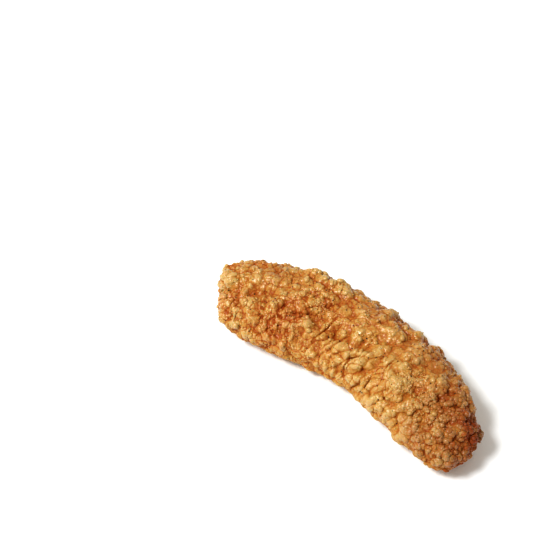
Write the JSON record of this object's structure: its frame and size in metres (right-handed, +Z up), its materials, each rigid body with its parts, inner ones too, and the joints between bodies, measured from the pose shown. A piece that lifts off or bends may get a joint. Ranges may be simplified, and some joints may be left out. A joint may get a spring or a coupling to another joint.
{
  "type": "chicken tender",
  "caption": "Bent, blunt-ended strip of chicken in a craggy golden-brown fried crust, lying on its flat side; a piece of prepared food.",
  "frame": {"origin": "on the floor, under the middle of the tender's box", "axes": "+X along the tender, towards the end that is nearer in the picture; +Z up from the flat side; the bend's hollow side faces -Y"},
  "size_m": [0.1272, 0.0464, 0.0253],
  "materials": {
    "fried_crust": "dry, craggy fried crust, golden on the lumps and red-brown in the creases"
  },
  "bodies": {
    "root": {"tender": "fried_crust"}
  },
  "joints": []
}
